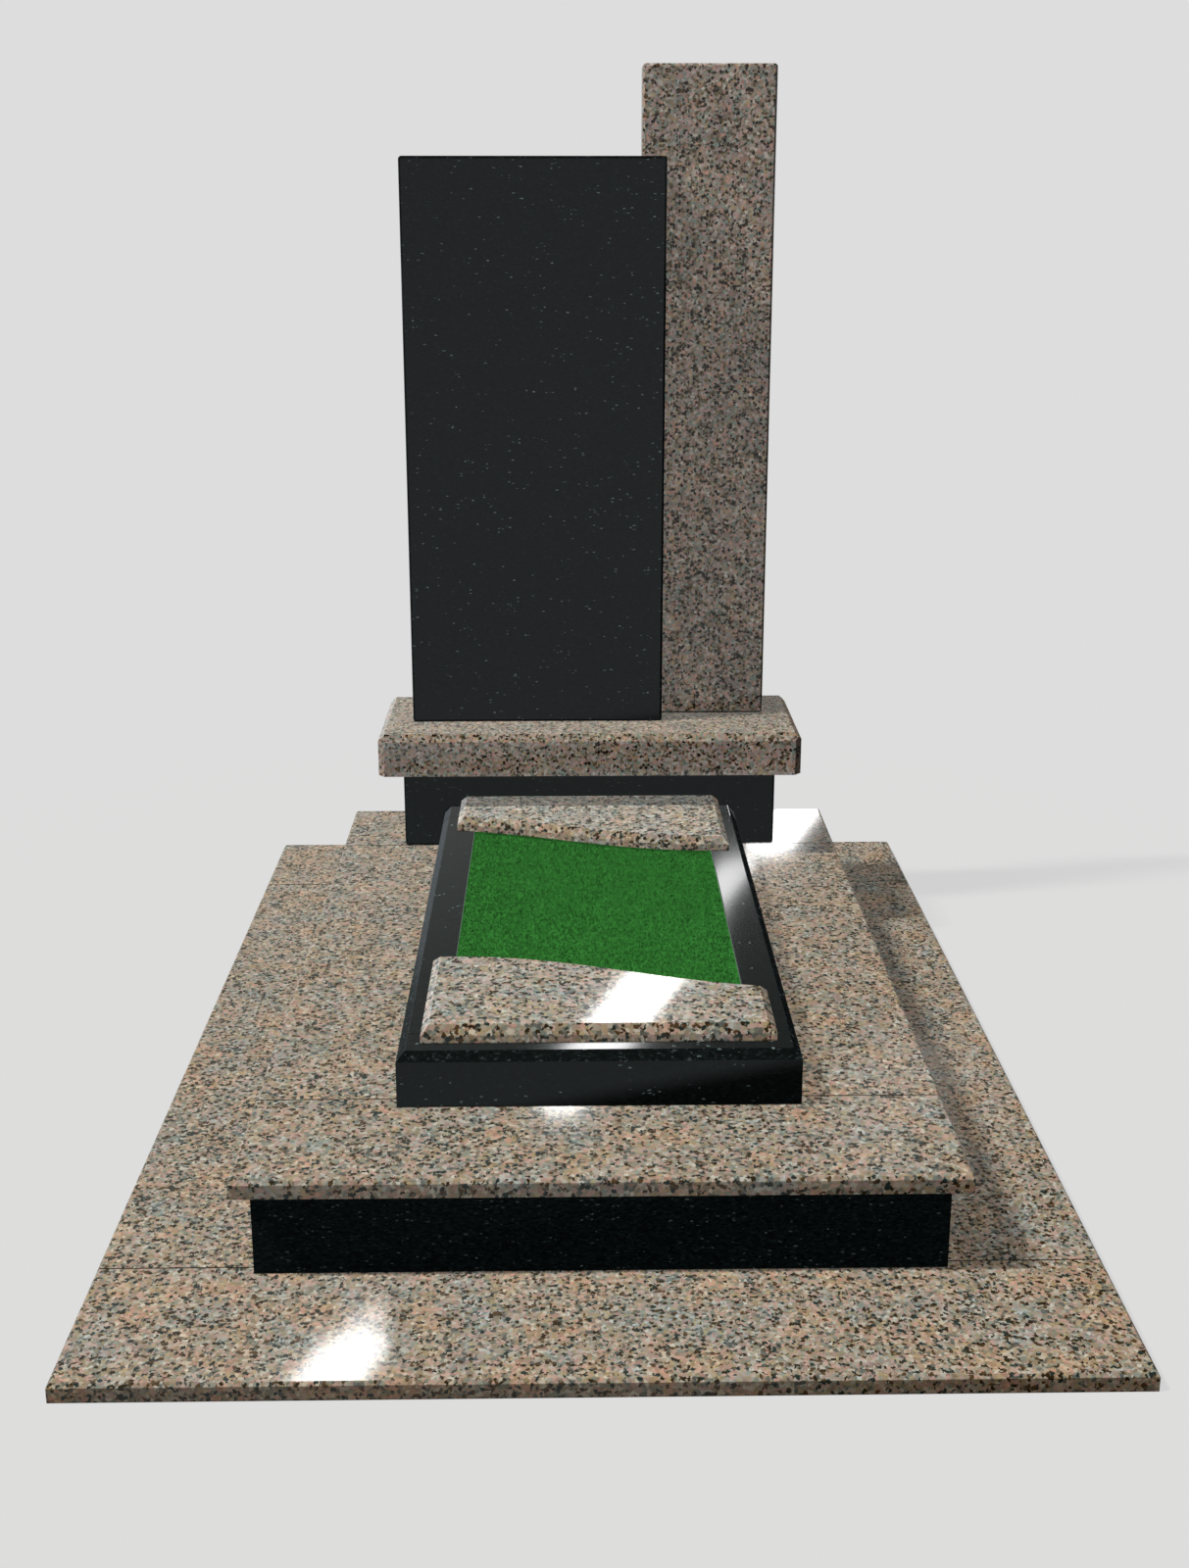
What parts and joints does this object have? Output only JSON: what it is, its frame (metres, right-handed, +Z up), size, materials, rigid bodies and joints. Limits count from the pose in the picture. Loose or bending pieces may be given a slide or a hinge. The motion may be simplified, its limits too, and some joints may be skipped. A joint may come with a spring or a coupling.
{
  "type": "granite grave monument",
  "caption": "Stone grave monument: ground slabs, panelled base with cover slabs, kerbed turf bed with wave-edged plates, and a pedestal that carries a blank stele and a taller pillar.",
  "frame": {"origin": "on the ground, in the middle of the apron of ground slabs", "axes": "+Z up; -Y out of the front, where the bed's front kerb is; +X to the pillar's side; +Y to the stele's back"},
  "size_m": [1.662, 2.3, 2.033],
  "materials": {
    "rose_granite": "satin",
    "black_granite": "polished",
    "concrete": "matte",
    "soil": "matte",
    "turf": "matte"
  },
  "bodies": {
    "root": {"apron_slab_front": "rose_granite", "apron_slab_back": "rose_granite", "apron_slab_left": "rose_granite", "apron_slab_right": "rose_granite", "concrete_core": "concrete", "base_panel_front": "black_granite", "base_panel_back": "black_granite", "base_panel_left": "black_granite", "base_panel_right": "black_granite", "cover_slab_front": "rose_granite", "cover_slab_back": "rose_granite", "cover_slab_left": "rose_granite", "cover_slab_right": "rose_granite", "kerb_front": "black_granite", "kerb_back": "black_granite", "kerb_left": "black_granite", "kerb_right": "black_granite", "bed_fill": "soil", "turf": "turf", "bed_plate_front": "rose_granite", "bed_plate_back": "rose_granite", "pedestal": "black_granite", "pedestal_cap": "rose_granite", "stele": "black_granite", "pillar": "rose_granite"}
  },
  "joints": []
}
